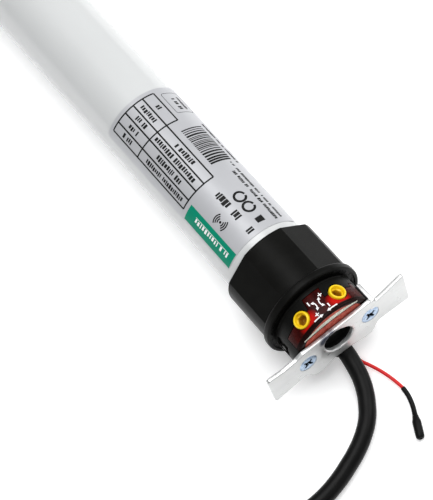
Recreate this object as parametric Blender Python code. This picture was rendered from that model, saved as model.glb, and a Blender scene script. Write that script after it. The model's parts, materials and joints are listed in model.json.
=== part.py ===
"""Tubular motor for a roller shutter, with mechanical end limits and a radio receiver.

The motor lies along X with its fixed head at +X and its drive wheel at -X. Every design length below is in
millimetres and is turned into metres where a mesh is made. An axial place is given as a station: the distance
from the outer face of the head bracket, counted into the motor. Angles about the motor's axis go from +Y
towards +Z.
"""
import bmesh
import bpy
from math import acos, cos, degrees, pi, radians, sin
from mathutils import Matrix, Vector
from mathutils.geometry import tessellate_polygon

MM = 0.001

# Driving dimensions
OVERALL = 500.0            # bracket face to the end of the output shaft
FLANGE_R = 21.35           # crown flange: the motor lies on it, so it sets the axis height
TUBE_R = 17.5
TUBE_WALL = 1.0
NECK_R = 18.2              # head in front of the crown
JOURNAL_R = 16.2           # head under the crown and inside the tube
CAVITY_R = 14.6
CROWN_R, CROWN_FLATS = 20.2, 19.0    # the crown's round sides, and half the width across its four flats
WHEEL_FLATS = 19.4         # half the width across the drive wheel's flats
SHAFT_R = 2.5
GAP = 0.3                  # left between pieces that touch
RUNNING_GAP = 0.10

FACE_X = OVERALL / 2
AXIS_Z = FLANGE_R

# Stations of the main sections
PLATE_T = 1.8
LUG_END = 9.6
NECK_START, NECK_END = 2.1, 15.6
CROWN_START, FLANGE_END, CROWN_END = 16.0, 19.0, 42.9
TUBE_START, TUBE_END = 43.2, 462.0
SPIGOT_END = 60.0
STATOR_START, STATOR_END = 236.0, 316.0
GEARBOX_START, GEARBOX_END = 362.0, 430.0
CAP_END = 468.0
WHEEL_START, WHEEL_END = 472.0, 495.0

SCREW_Y = 14.74            # bracket screws, either side of the axis
ADJUSTER_STATION = 8.3
ADJUSTER_ANGLES = {"up": 62.0, "down": 118.0}
CAM_STATION = 14.3

# Gears: teeth and module
CROWN_TEETH, PINION_TEETH, CROWN_MODULE = 34, 10, 1.0
COUNTER_DRIVER_TEETH, COUNTER_TEETH, COUNTER_MODULE = 8, 20, 0.5
ADJUSTER_TEETH, CAM_TEETH, CAM_MODULE = 8, 16, 0.5
SUN_TEETH, PLANET_TEETH, RING_TEETH = 6, 24, 54
RING_PITCH_R = 14.0
PLANETARY_MODULE = 2 * RING_PITCH_R / RING_TEETH
PLANET_ORBIT = PLANETARY_MODULE * (SUN_TEETH + PLANET_TEETH) / 2
PLANETS = 3
ROUND = 36                 # facets around a large piece
STAGE_STARTS = (367.0, 393.0)
PLANET_W = 14.0
PINION_AXIS_R = CROWN_MODULE * (CROWN_TEETH - PINION_TEETH) / 2
COUNTER_AXIS_R = PINION_AXIS_R - COUNTER_MODULE * (COUNTER_DRIVER_TEETH + COUNTER_TEETH) / 2

# Power lead and aerial
CABLE_D = 6.8
AERIAL_D, AERIAL_TIP_D = 1.4, 3.4
CORE_D = 2.0
COIL_CENTRE = (117.5, -40.0)     # beyond the bracket face, and across
COIL_MID_R, COIL_COLUMNS, COIL_LAYERS = 39.3, 2, 4
CABLE_ROUTE = [                  # beyond the bracket face, across, height of the centre above the floor
    (-1.8, 0.9, 7.0), (1.3, 0.6, 6.85), (4.4, 0.1, 6.4), (7.2, -0.4, 5.75), (10.0, -1.1, 5.0),
    (15.0, -3.1, 4.0), (20.0, -6.1, 3.5), (24.4, -9.6, 3.5), (28.2, -14.2, 3.5), (31.5, -19.8, 3.5),
    (34.2, -26.3, 3.5), (36.5, -33.2, 3.5), (38.0, -41.0, 3.5), (38.5, -50.1, 3.5), (39.7, -56.9, 3.5),
    (42.5, -63.2, 3.5), (46.6, -68.8, 3.5), (51.8, -73.3, 3.5), (58.0, -76.5, 3.5), (64.7, -78.2, 3.5),
    (74.6, -79.4, 3.5), (84.0, -80.2, 3.45),
]
TAIL_ROUTE = [(136.9, -19.3, 3.5), (133.7, -17.7, 3.5), (130.1, -16.7, 3.5), (126.5, -16.0, 3.5)]
CORE_ROUTE = [
    (126.2, -16.0), (123.5, -15.8), (120.5, -16.0), (117.6, -16.5), (114.7, -17.2), (111.9, -18.3),
    (109.2, -19.7), (106.7, -21.3), (104.4, -23.2),
]
CORES = {                        # sideways from the lead's middle and up, at the sheath's end and at the tip
    "brown": ((1.3, 2.7), (6.0, 1.05)),
    "blue": ((0.0, 4.9), (0.3, 1.05)),
    "green": ((-1.3, 2.7), (-6.5, 1.05)),
}
AERIAL_ROUTE = [
    (-1.8, 3.5, 3.8), (0.2, 3.4, 3.6), (2.1, 3.3, 3.3), (4.0, 3.5, 3.0), (7.3, 4.9, 2.6), (10.2, 6.1, 2.2),
    (13.5, 7.2, 1.8), (16.6, 8.0, 1.4), (19.3, 8.5, 1.1), (22.4, 8.8, 1.0), (25.5, 8.5, 1.0), (28.3, 7.8, 1.0),
    (31.0, 6.8, 1.0), (33.4, 5.6, 1.3),
]


# ---------------------------------------------------------------- materials
def material(name, colour, roughness, metallic=0.0):
    """Return a Principled material, made once."""
    mat = bpy.data.materials.get(name)
    if mat is None:
        mat = bpy.data.materials.new(name)
        mat.use_nodes = True
        shader = mat.node_tree.nodes["Principled BSDF"]
        shader.inputs["Base Color"].default_value = (*colour, 1.0)
        shader.inputs["Roughness"].default_value = roughness
        shader.inputs["Metallic"].default_value = metallic
    return mat


MATERIALS = {
    "zinc_plate": ((0.78, 0.79, 0.80), 0.32, 1.0),
    "zinc_screw": ((0.55, 0.66, 0.80), 0.30, 1.0),
    "black_plastic": ((0.015, 0.015, 0.016), 0.42, 0.0),
    "red_cover": ((0.30, 0.02, 0.01), 0.15, 0.0),
    "yellow_plastic": ((0.90, 0.68, 0.03), 0.35, 0.0),
    "white_coat": ((0.86, 0.87, 0.88), 0.25, 0.0),
    "label_film": ((0.72, 0.73, 0.75), 0.35, 0.2),
    "natural_plastic": ((0.75, 0.74, 0.68), 0.45, 0.0),
    "gear_plastic": ((0.82, 0.82, 0.78), 0.40, 0.0),
    "board": ((0.02, 0.20, 0.08), 0.45, 0.0),
    "relay_blue": ((0.05, 0.15, 0.55), 0.35, 0.0),
    "capacitor_white": ((0.80, 0.80, 0.78), 0.35, 0.0),
    "cast_aluminium": ((0.60, 0.61, 0.62), 0.45, 1.0),
    "steel": ((0.55, 0.55, 0.56), 0.30, 1.0),
    "lamination": ((0.30, 0.30, 0.31), 0.45, 1.0),
    "copper": ((0.72, 0.32, 0.12), 0.30, 1.0),
    "bronze": ((0.60, 0.42, 0.20), 0.40, 1.0),
    "friction": ((0.12, 0.10, 0.09), 0.80, 0.0),
    "cable_black": ((0.02, 0.02, 0.02), 0.45, 0.0),
    "aerial_red": ((0.75, 0.02, 0.01), 0.35, 0.0),
    "core_brown": ((0.20, 0.08, 0.03), 0.40, 0.0),
    "core_blue": ((0.03, 0.12, 0.55), 0.40, 0.0),
    "core_green": ((0.10, 0.45, 0.08), 0.40, 0.0),
}


# ---------------------------------------------------------------- mesh helpers
def world(station, y=0.0, z=0.0):
    """A point in metres from its station and its place about the axis."""
    return Vector((FACE_X - station, y, AXIS_Z + z)) * MM


def finish_mesh(name, bm, mat, place, parent=None):
    """Turn a bmesh in millimetres into an object at its place, a world matrix."""
    bmesh.ops.remove_doubles(bm, verts=bm.verts, dist=1e-4)
    bmesh.ops.recalc_face_normals(bm, faces=bm.faces)
    bmesh.ops.scale(bm, vec=(MM, MM, MM), verts=bm.verts)
    mesh = bpy.data.meshes.new(name)
    bm.to_mesh(mesh)
    bm.free()
    mesh.shade_smooth()
    mesh.set_sharp_from_angle(angle=radians(35))
    obj = bpy.data.objects.new(name, mesh)
    obj.data.materials.append(material(mat, *MATERIALS[mat]))
    bpy.context.collection.objects.link(obj)
    obj.parent = parent
    obj.matrix_world = place
    return obj


def at_station(station, y=0.0, z=0.0):
    """Place whose X is the motor's axis; pieces on it are modelled along -X from the station."""
    return Matrix.Translation(world(station, y, z))


def radial_place(station, angle):
    """Place on the motor's axis whose X points outwards at the angle and whose Y is the motor's X."""
    out = Vector((0, cos(radians(angle)), sin(radians(angle))))
    along = Vector((1, 0, 0))
    across = out.cross(along)
    turn = Matrix((out, along, across)).transposed().to_4x4()
    return Matrix.Translation(world(station)) @ turn


def circle(radius, count, centre=(0.0, 0.0), start=0.0):
    return [(centre[0] + radius * cos(start + 2 * pi * i / count),
             centre[1] + radius * sin(start + 2 * pi * i / count)) for i in range(count)]


def arc(radius, first, last, count, centre=(0.0, 0.0)):
    """Points of an arc between two angles in degrees, both ends included."""
    step = radians(last - first) / (count - 1)
    return [(centre[0] + radius * cos(radians(first) + step * i),
             centre[1] + radius * sin(radians(first) + step * i)) for i in range(count)]


def pointed_gear(teeth, module, phase=0.0, centre=(0.0, 0.0), internal=False):
    """Outline of a gear with stub teeth; phase is the angle of one tooth's middle."""
    pitch_r = module * teeth / 2
    sign = -1 if internal else 1
    tip = pitch_r + sign * 0.7 * module
    base = pitch_r - sign * 1.0 * module
    half = 0.42 * 2 * pi / teeth
    points = []
    for i in range(teeth):
        middle = phase + 2 * pi * i / teeth
        for radius, angle in ((base, middle - half), (tip, middle), (base, middle + half)):
            points.append((centre[0] + radius * cos(angle), centre[1] + radius * sin(angle)))
    return points


def meshing_phase(phase, teeth, other_teeth, direction):
    """Phase of a gear that meshes outside another, lying from it in the direction."""
    return direction + pi - (phase - direction) * teeth / other_teeth - pi / other_teeth


def internal_phase(ring_phase, ring_teeth, teeth, direction):
    """Phase of a gear that meshes inside a ring gear, lying from its centre in the direction."""
    return direction + ((ring_phase - direction) * ring_teeth + pi) / teeth


def extruded(name, mat, loops, first, last, place=None, parent=None):
    """Extrude an outline, and any holes after it, between two stations."""
    place = at_station(first) if place is None else place
    return finish_mesh(name, extrusion(loops, 0.0, first - last), mat, place, parent)


def extrusion(loops, x0, x1):
    """Mesh of an outline with holes in the YZ plane, extruded from x0 to x1."""
    bm = bmesh.new()
    flat = [[Vector((y, z, 0)) for y, z in loop] for loop in loops]
    triangles = tessellate_polygon(flat)
    rows = []
    for x in (x0, x1):
        rows.append([bm.verts.new((x, p.x, p.y)) for loop in flat for p in loop])
    for tri in triangles:
        for row in rows:
            bm.faces.new([row[i] for i in tri])
    offset = 0
    for loop in loops:
        for i in range(len(loop)):
            a, b = offset + i, offset + (i + 1) % len(loop)
            bm.faces.new((rows[0][a], rows[0][b], rows[1][b], rows[1][a]))
        offset += len(loop)
    return bm


def lathe(profile, count):
    """Mesh of a closed profile of (station, radius) points turned about X, first station at x = 0."""
    bm = bmesh.new()
    start = profile[0][0]
    rings = []
    for station, radius in profile:
        x = start - station
        if radius < 1e-6:
            rings.append([bm.verts.new((x, 0, 0))])
        else:
            rings.append([bm.verts.new((x, y, z)) for y, z in circle(radius, count)])
    for ring, following in zip(rings, rings[1:] + rings[:1]):
        for i in range(count):
            j = (i + 1) % count
            corners = [ring[i % len(ring)], ring[j % len(ring)],
                       following[j % len(following)], following[i % len(following)]]
            corners = list(dict.fromkeys(corners))
            if len(corners) > 2:
                bm.faces.new(corners)
    return bm


def turned(name, mat, profile, count=24, y=0.0, z=0.0, parent=None):
    return finish_mesh(name, lathe(profile, count), mat, at_station(profile[0][0], y, z), parent)


def box_mesh(size, centre):
    bm = bmesh.new()
    bmesh.ops.create_cube(bm, size=1.0)
    bmesh.ops.scale(bm, vec=size, verts=bm.verts)
    bmesh.ops.translate(bm, vec=centre, verts=bm.verts)
    return bm


def block(name, mat, stations, ys, zs, parent=None, bevel=0.0):
    """A box between two stations and two limits across and up, with its long edges rounded if asked."""
    size = (stations[1] - stations[0], ys[1] - ys[0], zs[1] - zs[0])
    bm = box_mesh(size, (0, 0, 0))
    if bevel:
        bmesh.ops.bevel(bm, geom=bm.edges[:], offset=bevel, segments=1, affect="EDGES")
    middle = at_station(sum(stations) / 2, sum(ys) / 2, sum(zs) / 2)
    return finish_mesh(name, bm, mat, middle, parent)


def combine(obj, tool, operation):
    """Apply a Boolean of the tool to the object and remove the tool."""
    modifier = obj.modifiers.new("combine", "BOOLEAN")
    modifier.solver = "EXACT"
    modifier.operation = operation
    modifier.object = tool
    bpy.context.view_layer.update()
    evaluated = obj.evaluated_get(bpy.context.evaluated_depsgraph_get())
    mesh = bpy.data.meshes.new_from_object(evaluated)
    obj.modifiers.clear()
    mesh.name = obj.name
    obj.data = mesh
    mesh.shade_smooth()
    mesh.set_sharp_from_angle(angle=radians(35))
    bpy.data.objects.remove(tool)


def cut(obj, tool):
    combine(obj, tool, "DIFFERENCE")


def join(obj, tool):
    combine(obj, tool, "UNION")


def rod_tool(radius, first, last, y=0.0, z=0.0, count=16):
    """A round bar along the motor between two stations, for cutting or joining."""
    return turned("tool", "steel", [(first, 0), (first, radius), (last, radius), (last, 0)], count, y, z)


def radial_rod(radius, inner, outer, station, angle, count=16):
    """A round bar that points away from the motor's axis."""
    bm = lathe([(0, 0), (0, radius), (inner - outer, radius), (inner - outer, 0)], count)
    place = radial_place(station, angle) @ Matrix.Translation((inner * MM, 0, 0))
    return finish_mesh("tool", bm, "steel", place)


def empty(name, station, y=0.0, z=0.0):
    """An empty on a joint's axis, which carries the pieces that turn on it."""
    obj = bpy.data.objects.new(name, None)
    bpy.context.collection.objects.link(obj)
    obj.matrix_world = at_station(station, y, z)
    bpy.context.view_layer.update()
    return obj


# ---------------------------------------------------------------- head
def bracket_outline():
    """Bracket plate seen along the axis: two ears, a raised middle, and a notch beside the lug."""
    lobe = arc(4.6, -15, -112, 5, centre=(11.2, -8.5))
    top = [(-31.4, 8.2), (-25.0, 7.4), (-18.6, 7.9), (-15.6, 9.0), (16.4, 9.0), (18.7, 6.2), (31.4, 9.5)]
    right = [(32.0, 9.0), (32.0, -8.4), (31.4, -9.0), (17.2, -7.8), *lobe, (6.0, -12.0), (3.6, -11.2)]
    left = [(-4.0, -10.4), *[(-y, z) for y, z in reversed(lobe)], (-17.2, -7.4), (-31.4, -8.8),
            (-32.0, -8.2), (-32.0, 7.6)]
    return top + right + left


def make_bracket_plate():
    hole = circle(6.25, 24)
    screw_holes = [circle(2.2, 12, centre=(side * SCREW_Y, 0)) for side in (1, -1)]
    plate = extruded("bracket_plate", "zinc_plate", [bracket_outline(), hole, *screw_holes], 0.0, PLATE_T)
    for side in (1, -1):
        sink = turned("tool", "steel", [(-0.5, 0), (-0.5, 4.6), (0.0, 4.25), (2.0, 2.25), (2.0, 0)], 20,
                      side * SCREW_Y)
        cut(plate, sink)
    lug = block("tool", "steel", (0.6, LUG_END), (16.6, 18.3), (2.8, 8.3))
    join(plate, lug)


def make_bracket_screws():
    for name, side in (("left", -1), ("right", 1)):
        profile = [(0.1, 0), (0.1, 3.95), (1.75, 2.0), (2.2, 1.5), (11.5, 1.5), (11.5, 0)]
        screw = turned(f"bracket_screw_{name}", "zinc_screw", profile, 20, side * SCREW_Y)
        cross = extrusion([cross_outline(2.1, 0.45)], 1.0, -1.1)
        cut(screw, finish_mesh("tool", cross, "steel", at_station(0, side * SCREW_Y)))


def cross_outline(reach, half):
    quarter = [(reach, -0.8 * half), (reach, 0.8 * half), (half, half)]
    points = []
    for turn in range(4):
        c, s = cos(turn * pi / 2), sin(turn * pi / 2)
        points += [(y * c - z * s, y * s + z * c) for y, z in quarter]
    return points


def sector(inner, outer, first, last, count=13):
    """Outline of a piece of a ring between two angles in degrees."""
    return arc(outer, first, last, count) + arc(inner, last, first, count)


def make_head_body():
    profile = [(NECK_START, 6.2), (NECK_START, NECK_R), (NECK_END, NECK_R), (NECK_END, JOURNAL_R),
               (SPIGOT_END, JOURNAL_R), (SPIGOT_END, CAVITY_R), (4.5, CAVITY_R), (4.5, 0), (3.9, 0), (3.9, 6.2)]
    head = turned("head_body", "black_plastic", profile, ROUND)
    for side in (1, -1):
        join(head, rod_tool(2.9, 4.4, 13.0, side * SCREW_Y, count=12))
        cut(head, rod_tool(1.75, 1.0, 12.0, side * SCREW_Y, count=12))
    window = extruded("tool", "steel", [sector(CAVITY_R - 0.4, NECK_R + 1, 28, 152)], 1.0, 14.6)
    cut(head, window)
    cut(head, block("tool", "steel", (20.8, 28.2), (-6.3, 6.3), (-18, -12)))
    cut(head, block("tool", "steel", (1.0, 15.3), (-4.8, 7.4), (-20, -9.4)))
    cut(head, block("tool", "steel", (-1.0, NECK_END + 1), (16.2, 20), (2.3, 9.2)))
    cut(head, block("tool", "steel", (6.0, 13.6), (-20, -16.6), (-1.0, 5.4)))


def make_limit_cover():
    cover = extruded("limit_cover", "red_cover", [sector(15.0, NECK_R, 29, 151, 17)], NECK_START, 14.3)
    for angle in ADJUSTER_ANGLES.values():
        cut(cover, radial_rod(3.75, 10, 22, ADJUSTER_STATION, angle, 20))


def make_cable_connector():
    connector = block("cable_connector", "black_plastic", (2.5, 15.0), (-4.5, 7.1), (-15.4, -9.8))
    join(connector, rod_tool(4.3, 2.2, 14.0, 0.9, -14.35, count=20))
    join(connector, block("tool", "steel", (2.5, 15.0), (-4.5, 5.9), (-16.6, -12.0)))


# ---------------------------------------------------------------- limit mechanism
def make_adjusters():
    """Two setting screws that face outwards; each turns the cam beside it."""
    for name, angle in ADJUSTER_ANGLES.items():
        place = radial_place(ADJUSTER_STATION, angle)
        profile = [(-18.7, 0), (-18.7, 3.35), (-13.0, 3.35), (-13.0, 1.2), (-8.0, 1.2), (-8.0, 0)]
        bm = lathe(profile, 16)
        bmesh.ops.rotate(bm, matrix=Matrix.Rotation(radians(7), 3, "X"), verts=bm.verts)
        bmesh.ops.translate(bm, vec=(18.7, 0, 0), verts=bm.verts)
        adjuster = finish_mesh(f"adjuster_{name}", bm, "yellow_plastic", place)
        gear = extrusion([pointed_gear(ADJUSTER_TEETH, CAM_MODULE)], 8.6, 10.9)
        join(adjuster, finish_mesh("tool", gear, "steel", place))
        socket = extrusion([circle(2.0, 6)], 13.8, 20.0)
        cut(adjuster, finish_mesh("tool", socket, "steel", place))


def make_limit_cams():
    for name, angle in ADJUSTER_ANGLES.items():
        place = radial_place(CAM_STATION, angle)
        phase = meshing_phase(0.0, ADJUSTER_TEETH, CAM_TEETH, pi)
        gear = extrusion([pointed_gear(CAM_TEETH, CAM_MODULE, phase), circle(1.3, 10)], 8.9, 10.7)
        cam = finish_mesh(f"limit_cam_{name}", gear, "gear_plastic", place)
        lobe = extrusion([circle(2.4, 12, centre=(0.8, 0)), circle(1.5, 10)], 10.4, 12.2)
        join(cam, finish_mesh("tool", lobe, "steel", place))


def make_limit_frame():
    """Slab inside the head with the posts that the adjusters and the cams turn on."""
    frame = block("limit_frame", "natural_plastic", (5.0, 32.5), (-10.5, 10.5), (1.0, 3.5))
    for angle in ADJUSTER_ANGLES.values():
        join(frame, radial_rod(1.7, 3.4, 7.7, ADJUSTER_STATION, angle, 10))
        join(frame, radial_rod(1.7, 3.5, 8.6, CAM_STATION, angle, 10))
        join(frame, radial_rod(1.15, 4.5, 12.0, CAM_STATION, angle, 9))


def make_limit_switches():
    for name, side in (("up", 1), ("down", -1)):
        ys = sorted((side * 2.6, side * 8.6))
        block(f"limit_switch_{name}", "black_plastic", (19.5, 31.5), ys, (3.8, 9.8), bevel=0.4)


def make_limit_gears():
    """Pinion shaft that the crown turns, and the counter gear that it drives."""
    pinion_phase = internal_phase(0.0, CROWN_TEETH, PINION_TEETH, -pi / 2)
    pinion = turned("limit_pinion", "gear_plastic",
                    [(19.0, 0), (19.0, 1.2), (43.0, 1.2), (43.0, 0)], 12, z=-PINION_AXIS_R)
    teeth = extrusion([pointed_gear(PINION_TEETH, CROWN_MODULE, pinion_phase)], 0.0, -4.4)
    join(pinion, finish_mesh("tool", teeth, "steel", at_station(22.3, z=-PINION_AXIS_R)))
    driver = extrusion([pointed_gear(COUNTER_DRIVER_TEETH, COUNTER_MODULE)], 0.0, -3.0)
    join(pinion, finish_mesh("tool", driver, "steel", at_station(34.0, z=-PINION_AXIS_R)))

    phase = meshing_phase(0.0, COUNTER_DRIVER_TEETH, COUNTER_TEETH, pi / 2)
    counter = extruded("limit_counter_gear", "gear_plastic",
                       [pointed_gear(COUNTER_TEETH, COUNTER_MODULE, phase)], 34.2, 36.8,
                       place=at_station(34.2, z=-COUNTER_AXIS_R))
    join(counter, rod_tool(1.2, 33.4, 43.0, 0, -COUNTER_AXIS_R, 12))
    holes = [circle(1.3, 12, centre=(0, -PINION_AXIS_R)), circle(1.3, 12, centre=(0, -COUNTER_AXIS_R))]
    extruded("gear_plate", "natural_plastic", [circle(CAVITY_R - GAP, 24), *holes], 39.0, 41.0)


# ---------------------------------------------------------------- crown and tube
def octagon(flats, corner):
    """Outline of an octagon with chamfered corners; flats is half the width across them."""
    points = []
    for i in range(8):
        middle = pi / 4 * i + pi / 8
        for angle in (middle - corner, middle + corner):
            radius = flats / cos(corner - pi / 8)
            points.append((radius * cos(angle), radius * sin(angle)))
    return points


def make_drive_crown(parent):
    bore = circle(JOURNAL_R + RUNNING_GAP, ROUND)
    groove_r = 18.25
    side = degrees(acos(CROWN_FLATS / CROWN_R))
    outline = [p for k in range(4) for p in arc(CROWN_R, 90 * k - 45 + side, 90 * k + 45 - side, 7)]
    crown = extruded("drive_crown", "black_plastic", [outline, bore],
                     CROWN_START + 0.4, CROWN_END, parent=parent)
    rim = [circle(FLANGE_R, ROUND), circle(JOURNAL_R + 1.0, ROUND)]
    join(crown, extruded("tool", "steel", rim, CROWN_START, FLANGE_END))
    groove = [(21.7, 12), (21.7, groove_r), (27.3, groove_r), (27.3, 12)]
    cut(crown, turned("tool", "steel", groove, ROUND))
    ring = [circle(groove_r - 0.15, ROUND), pointed_gear(CROWN_TEETH, CROWN_MODULE, internal=True)]
    extruded("crown_gear_ring", "gear_plastic", ring, 22.0, 27.0, parent=parent)


def make_motor_tube():
    inner = TUBE_R - TUBE_WALL
    profile = [(TUBE_START, inner), (TUBE_START, TUBE_R), (TUBE_END, TUBE_R), (TUBE_END, inner)]
    turned("motor_tube", "white_coat", profile, 48)


def make_rating_label():
    extruded("rating_label", "label_film", [sector(TUBE_R + 0.1, TUBE_R + 0.25, 22.5, 150.0, 18)], 46.8, 128.0)


# ---------------------------------------------------------------- electronics
def make_electronics():
    block("receiver_board", "board", (66, 140), (-13, 13), (-0.8, 0.8))
    block("radio_module", "steel", (72, 88), (-7, 7), (1.1, 3.8))
    for name, side in (("up", 1), ("down", -1)):
        ys = sorted((side * 0.4, side * 10.4))
        block(f"relay_{name}", "relay_blue", (104, 123), ys, (1.1, 10.9), bevel=0.4)
    turned("motor_capacitor", "capacitor_white",
           [(150, 0), (150, 6.0), (152, 6.0), (152, 14.0), (207, 14.0), (207, 0)], 24)


# ---------------------------------------------------------------- motor
def make_stator():
    for name, first in (("front", 214.0), ("rear", 329.0)):
        shield = [(first, SHAFT_R + 1.0), (first, 16.1), (first + 8, 16.1), (first + 8, 6.8), (first + 2, 6.8),
                  (first + 2, SHAFT_R + 1.0)]
        turned(f"{name}_end_shield", "cast_aluminium", shield)
        turned(f"{name}_bearing", "steel", [(first + 2.3, SHAFT_R + RUNNING_GAP), (first + 2.3, 6.5),
                                            (first + 7.5, 6.5), (first + 7.5, SHAFT_R + RUNNING_GAP)], 20)
    turned("stator_core", "lamination",
           [(STATOR_START, 9.3), (STATOR_START, 16.1), (STATOR_END, 16.1), (STATOR_END, 9.3)])
    for name, first in (("front", 226.0), ("rear", STATOR_END + GAP)):
        last = first + 9.7
        turned(f"winding_{name}", "copper", [(first, 11.0), (first, 13.5), (first + 2, 15.0), (last, 15.0),
                                             (last, 9.7), (first + 2, 9.7)], 20)


def make_rotor(parent):
    turned("rotor_core", "lamination", [(238, SHAFT_R + 0.2), (238, 9.0), (314, 9.0), (314, SHAFT_R + 0.2)], 24,
           parent=parent)
    shaft = turned("rotor_shaft", "steel", [(213, 0), (213, SHAFT_R), (STAGE_STARTS[0] - 3, SHAFT_R),
                                            (STAGE_STARTS[0] - 3, 1.0), (STAGE_STARTS[0] + PLANET_W, 1.0),
                                            (STAGE_STARTS[0] + PLANET_W, 0)], 16, parent=parent)
    sun = extrusion([pointed_gear(SUN_TEETH, PLANETARY_MODULE)], 0.0, -PLANET_W)
    join(shaft, finish_mesh("tool", sun, "steel", at_station(STAGE_STARTS[0])))
    turned("brake_disc", "friction", [(342.0, SHAFT_R + 0.2), (342.0, 13.0), (345.0, 13.0),
                                      (345.0, SHAFT_R + 0.2)], 24, parent=parent)


def make_brake():
    turned("brake_spring", "steel", [(337.3, 7.2), (337.3, 8.8), (338.0, 8.8), (338.0, 7.2)], 16)
    turned("brake_armature", "steel", [(338.9, 4.0), (338.9, 14.0), (341.7, 14.0), (341.7, 4.0)], 24)


# ---------------------------------------------------------------- gearbox and output
def make_ring_gear():
    ring_phase = (pi * PLANET_TEETH) / RING_TEETH
    loops = [circle(16.1, ROUND), pointed_gear(RING_TEETH, PLANETARY_MODULE, ring_phase, internal=True)]
    extruded("ring_gear", "natural_plastic", loops, GEARBOX_START, GEARBOX_END)
    turned("gearbox_flange", "cast_aluminium", [(353, 3.2), (353, 16.1), (359, 16.1), (359, 3.2)])


def make_planets(carriers):
    for stage, (first, carrier) in enumerate(zip(STAGE_STARTS, carriers), start=1):
        for k in range(PLANETS):
            direction = 2 * pi * k / PLANETS
            phase = meshing_phase(0.0, SUN_TEETH, PLANET_TEETH, direction)
            y, z = PLANET_ORBIT * cos(direction), PLANET_ORBIT * sin(direction)
            loops = [pointed_gear(PLANET_TEETH, PLANETARY_MODULE, phase), circle(1.6, 10)]
            extruded(f"planet_{stage}_{'abc'[k]}", "gear_plastic", loops, first + 0.3, first + PLANET_W - 0.3,
                     place=at_station(first + 0.3, y, z), parent=carrier)


def add_pins(carrier, first, last):
    for k in range(PLANETS):
        direction = 2 * pi * k / PLANETS
        y, z = PLANET_ORBIT * cos(direction), PLANET_ORBIT * sin(direction)
        join(carrier, rod_tool(1.4, first, last, y, z, 10))


def make_carriers(parents):
    """Each carrier holds a stage's planets on pins; the second one is the output shaft."""
    plate = STAGE_STARTS[0] + PLANET_W + 1.5
    nose = STAGE_STARTS[1] + PLANET_W
    first = turned("carrier_1", "steel", [(plate, 0), (plate, 12.0), (plate + 3, 12.0), (plate + 3, 1.0), (nose, 1.0),
                                          (nose, 0)], 24, parent=parents[0])
    add_pins(first, STAGE_STARTS[0] + 0.5, plate + 1)
    sun = extrusion([pointed_gear(SUN_TEETH, PLANETARY_MODULE)], 0.0, -PLANET_W)
    join(first, finish_mesh("tool", sun, "steel", at_station(STAGE_STARTS[1])))

    plate = STAGE_STARTS[1] + PLANET_W + 1.5
    second = turned("carrier_2", "steel", [(plate, 0), (plate, 12.0), (plate + 5, 12.0), (plate + 5, 5.0),
                                           (OVERALL - 0.6, 5.0), (OVERALL, 4.4), (OVERALL, 0)], 24,
                    parent=parents[1])
    add_pins(second, STAGE_STARTS[1] + 0.5, plate + 1)


def make_output_end(parent):
    cap = [(434.0, 7.3), (434.0, 16.1), (TUBE_END + GAP, 16.1), (TUBE_END + GAP, TUBE_R), (CAP_END, TUBE_R),
           (CAP_END, 7.3)]
    turned("output_end_cap", "cast_aluminium", cap, ROUND)
    turned("output_bushing", "bronze", [(436, 5.0 + RUNNING_GAP), (436, 7.1), (466, 7.1),
                                        (466, 5.0 + RUNNING_GAP)], 24)
    pockets = [circle(2.6, 10, centre=(12.2 * cos(pi / 4 * i), 12.2 * sin(pi / 4 * i))) for i in range(8)]
    loops = [octagon(WHEEL_FLATS, radians(4)), circle(5.3, 24), *pockets]
    extruded("drive_wheel", "black_plastic", loops, WHEEL_START, WHEEL_END, parent=parent)
    clip = arc(7.4, -150, 150, 15) + arc(5.25, 150, -150, 15)
    extruded("retaining_clip", "steel", [clip], WHEEL_END + GAP, WHEEL_END + 1.4, parent=parent)


# ---------------------------------------------------------------- power lead and aerial
def make_tube(name, mat, points, diameter, resolution=2):
    """A round lead through points (beyond the bracket face, across, height above the floor)."""
    curve = bpy.data.curves.new(name, "CURVE")
    curve.dimensions = "3D"
    curve.bevel_depth = diameter / 2 * MM
    curve.bevel_resolution = resolution
    curve.use_fill_caps = True
    spline = curve.splines.new("POLY")
    spline.points.add(len(points) - 1)
    for slot, (x, y, z) in zip(spline.points, points):
        slot.co = ((FACE_X + x) * MM, y * MM, z * MM, 1.0)
    curve.materials.append(material(mat, *MATERIALS[mat]))
    obj = bpy.data.objects.new(name, curve)
    bpy.context.collection.objects.link(obj)


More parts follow.
